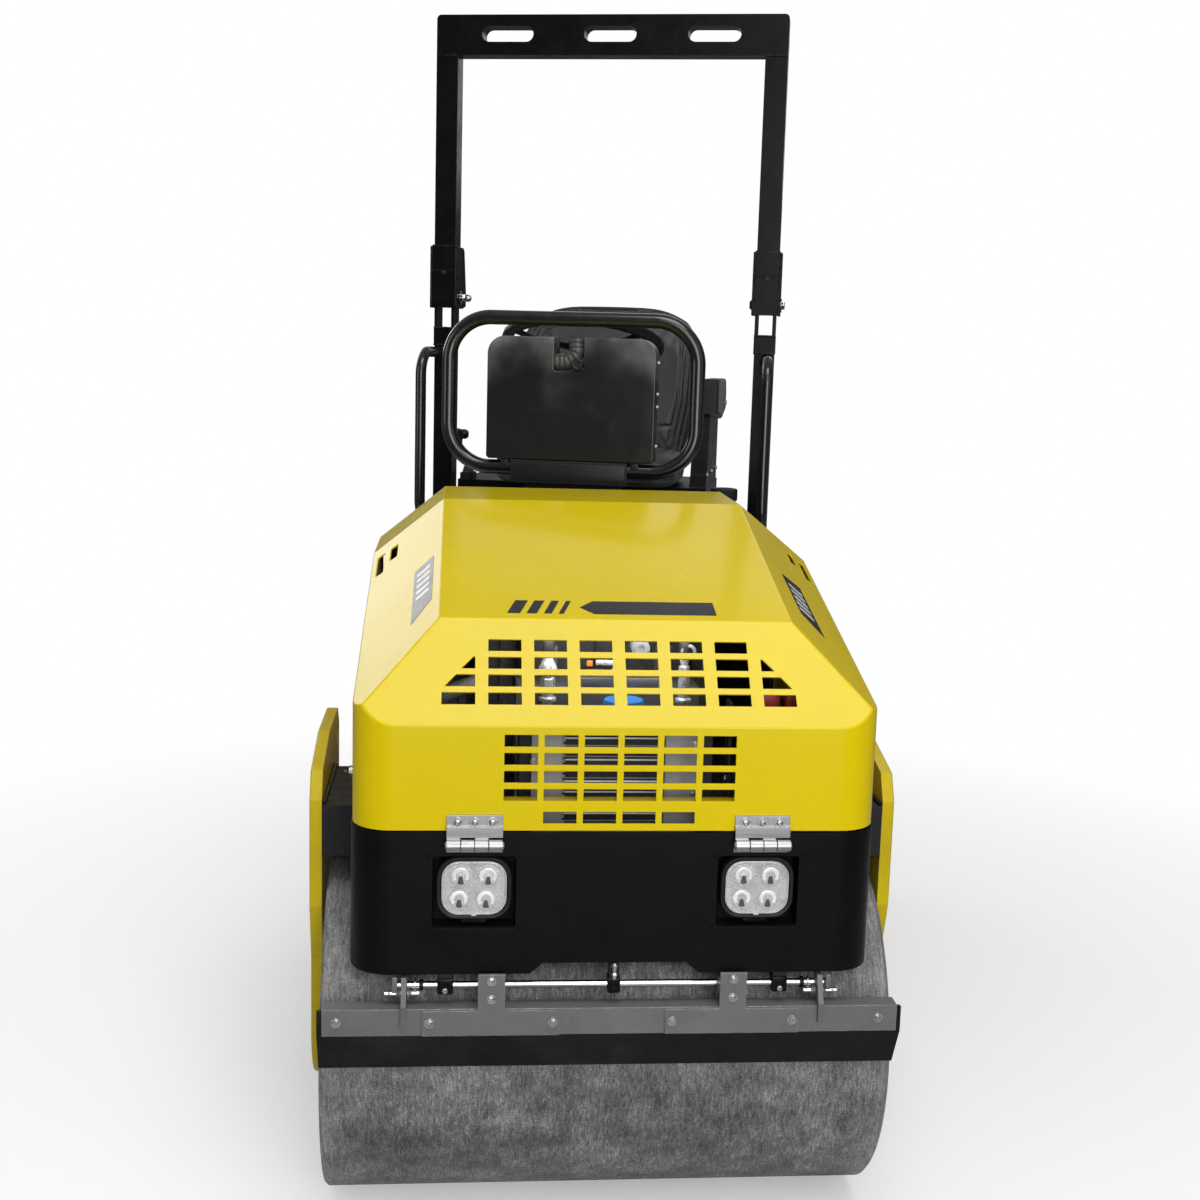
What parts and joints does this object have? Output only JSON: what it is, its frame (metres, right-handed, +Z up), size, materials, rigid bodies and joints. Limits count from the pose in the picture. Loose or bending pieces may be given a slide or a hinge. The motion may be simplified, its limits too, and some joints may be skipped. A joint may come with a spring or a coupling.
{
  "type": "ride-on tandem road roller",
  "caption": "Compact articulated tandem road roller with yellow tipping hood, black nose with square lamps, two smooth steel drums, scrapers, operator's seat, console hoop and folding roll bar.",
  "frame": {"origin": "on the ground under the middle of the overall box, with the machine parked steered as in the picture", "axes": "+Z up, -Y towards the front drum and hood, +X to the right seen from the front camera; the front frame is square to the axes, the rear frame is turned 13.4 degrees clockwise from above"},
  "size_m": [1.1608, 2.2182, 2.168],
  "materials": {
    "frame_black": "semi-gloss black powder coat",
    "yellow_paint": "gloss yellow coat on sheet steel",
    "plate_yellow": "gloss yellow coat on thick plate",
    "nose_black": "satin black coat",
    "hinge_steel": "brushed stainless",
    "lamp": "lamp housing with ribbed lens",
    "engine_grey": "cast block",
    "radiator_alu": "finned core",
    "battery_case": "moulded case",
    "valve_steel": "machined block",
    "air_filter": "moulded case",
    "scraper_grey": "grey galvanised angle",
    "scraper_rubber": "black rubber strip",
    "bright_shaft": "bright drawn bar",
    "axle_steel": "black coated hub",
    "drum_steel": "worn rolled steel",
    "tread_plate": "black raised-pattern plate",
    "seat_vinyl": "black grained vinyl",
    "armrest_pad": "soft black moulding",
    "console_gloss": "gloss black console",
    "wheel_grip": "black moulded rim",
    "tank_black": "rotomoulded tank",
    "cap_plastic": "ribbed cap",
    "tail_lamp": "red lens",
    "cylinder_black": "black cylinder",
    "cylinder_rod": "hard chrome rod"
  },
  "bodies": {
    "front_frame": {"front_chassis": "frame_black", "front_hitch": "frame_black", "front_side_plates": "plate_yellow", "articulation_pin": "frame_black", "nose_panel": "nose_black", "nose_hinge_leaves": "hinge_steel", "headlights": "lamp", "engine_block": "engine_grey", "radiator": "radiator_alu", "battery": "battery_case", "hydraulic_valve": "valve_steel", "air_cleaner": "air_filter", "engine_bulkhead": "frame_black", "front_scraper_bar": "scraper_grey", "front_scraper_rubber": "scraper_rubber", "front_scraper_shaft": "bright_shaft", "front_axle_stubs": "axle_steel"},
    "hood": {"hood_shell": "yellow_paint", "hood_hinge_leaves": "hinge_steel"},
    "front_drum": {"front_drum": "drum_steel"},
    "rear_frame": {"rear_chassis": "frame_black", "rear_hitch": "frame_black", "rear_side_plates": "plate_yellow", "rear_axle_stubs": "axle_steel", "platform": "tread_plate", "seat_box": "frame_black", "tank_caps": "cap_plastic", "seat_cushion": "seat_vinyl", "seat_backrest": "seat_vinyl", "armrest": "armrest_pad", "seat_frame": "frame_black", "travel_lever": "frame_black", "console": "console_gloss", "console_pedestal": "frame_black", "hoop_guard": "frame_black", "steering_column": "frame_black", "rops_posts": "frame_black", "grab_rails": "frame_black", "water_tank": "tank_black", "tail_panel": "yellow_paint", "tail_lamps": "tail_lamp", "rear_scraper_bar": "scraper_grey", "rear_scraper_rubber": "scraper_rubber", "rear_scraper_shaft": "bright_shaft"},
    "rear_drum": {"rear_drum": "drum_steel"},
    "rops_upper": {"rops_upper_frame": "frame_black"},
    "steering_wheel": {"steering_wheel": "wheel_grip"},
    "cylinder_barrel": {"steering_cylinder_barrel": "cylinder_black"},
    "cylinder_rod": {"steering_cylinder_rod": "cylinder_rod"}
  },
  "joints": [
    {"name": "articulation", "type": "hinge", "parent": "front_frame", "child": "rear_frame", "pos_m": [-0.10245, -0.03108, 0.43], "axis": [0, 0, 1], "range_deg": [-16.6, 43.4]},
    {"name": "front_drum_spin", "type": "hinge", "parent": "front_frame", "child": "front_drum", "pos_m": [-0.10245, -0.75608, 0.295], "axis": [1, 0, 0], "continuous": true},
    {"name": "rear_drum_spin", "type": "hinge", "parent": "rear_frame", "child": "rear_drum", "pos_m": [0.06557, 0.67419, 0.295], "axis": [0.9728, -0.2317, 0], "continuous": true},
    {"name": "hood_hinge", "type": "hinge", "parent": "front_frame", "child": "hood", "pos_m": [-0.10245, -1.10008, 0.689], "axis": [1, 0, 0], "range_deg": [0, 60]},
    {"name": "rops_fold", "type": "hinge", "parent": "rear_frame", "child": "rops_upper", "pos_m": [-0.02133, 0.3094, 1.538], "axis": [-0.9728, 0.2317, 0], "range_deg": [0, 110]},
    {"name": "steering_wheel_turn", "type": "hinge", "parent": "rear_frame", "child": "steering_wheel", "pos_m": [-0.08399, 0.09817, 1.44], "axis": [0.0678, 0.2844, 0.9563], "continuous": true},
    {"name": "cylinder_swing", "type": "hinge", "parent": "front_frame", "child": "cylinder_barrel", "pos_m": [0.09755, -0.35108, 0.43], "axis": [0, 0, 1], "range_deg": [-7, 17.3]},
    {"name": "cylinder_stroke", "type": "slide", "parent": "cylinder_barrel", "child": "cylinder_rod", "axis": [0.087, 0.9962, 0], "range_m": [-0.0603, 0.1527]}
  ],
  "couplings": [
    {"joint": "cylinder_swing", "follows": "articulation", "ratio": 0.385},
    {"joint": "cylinder_stroke", "follows": "articulation", "m_per_rad": 0.19767}
  ]
}
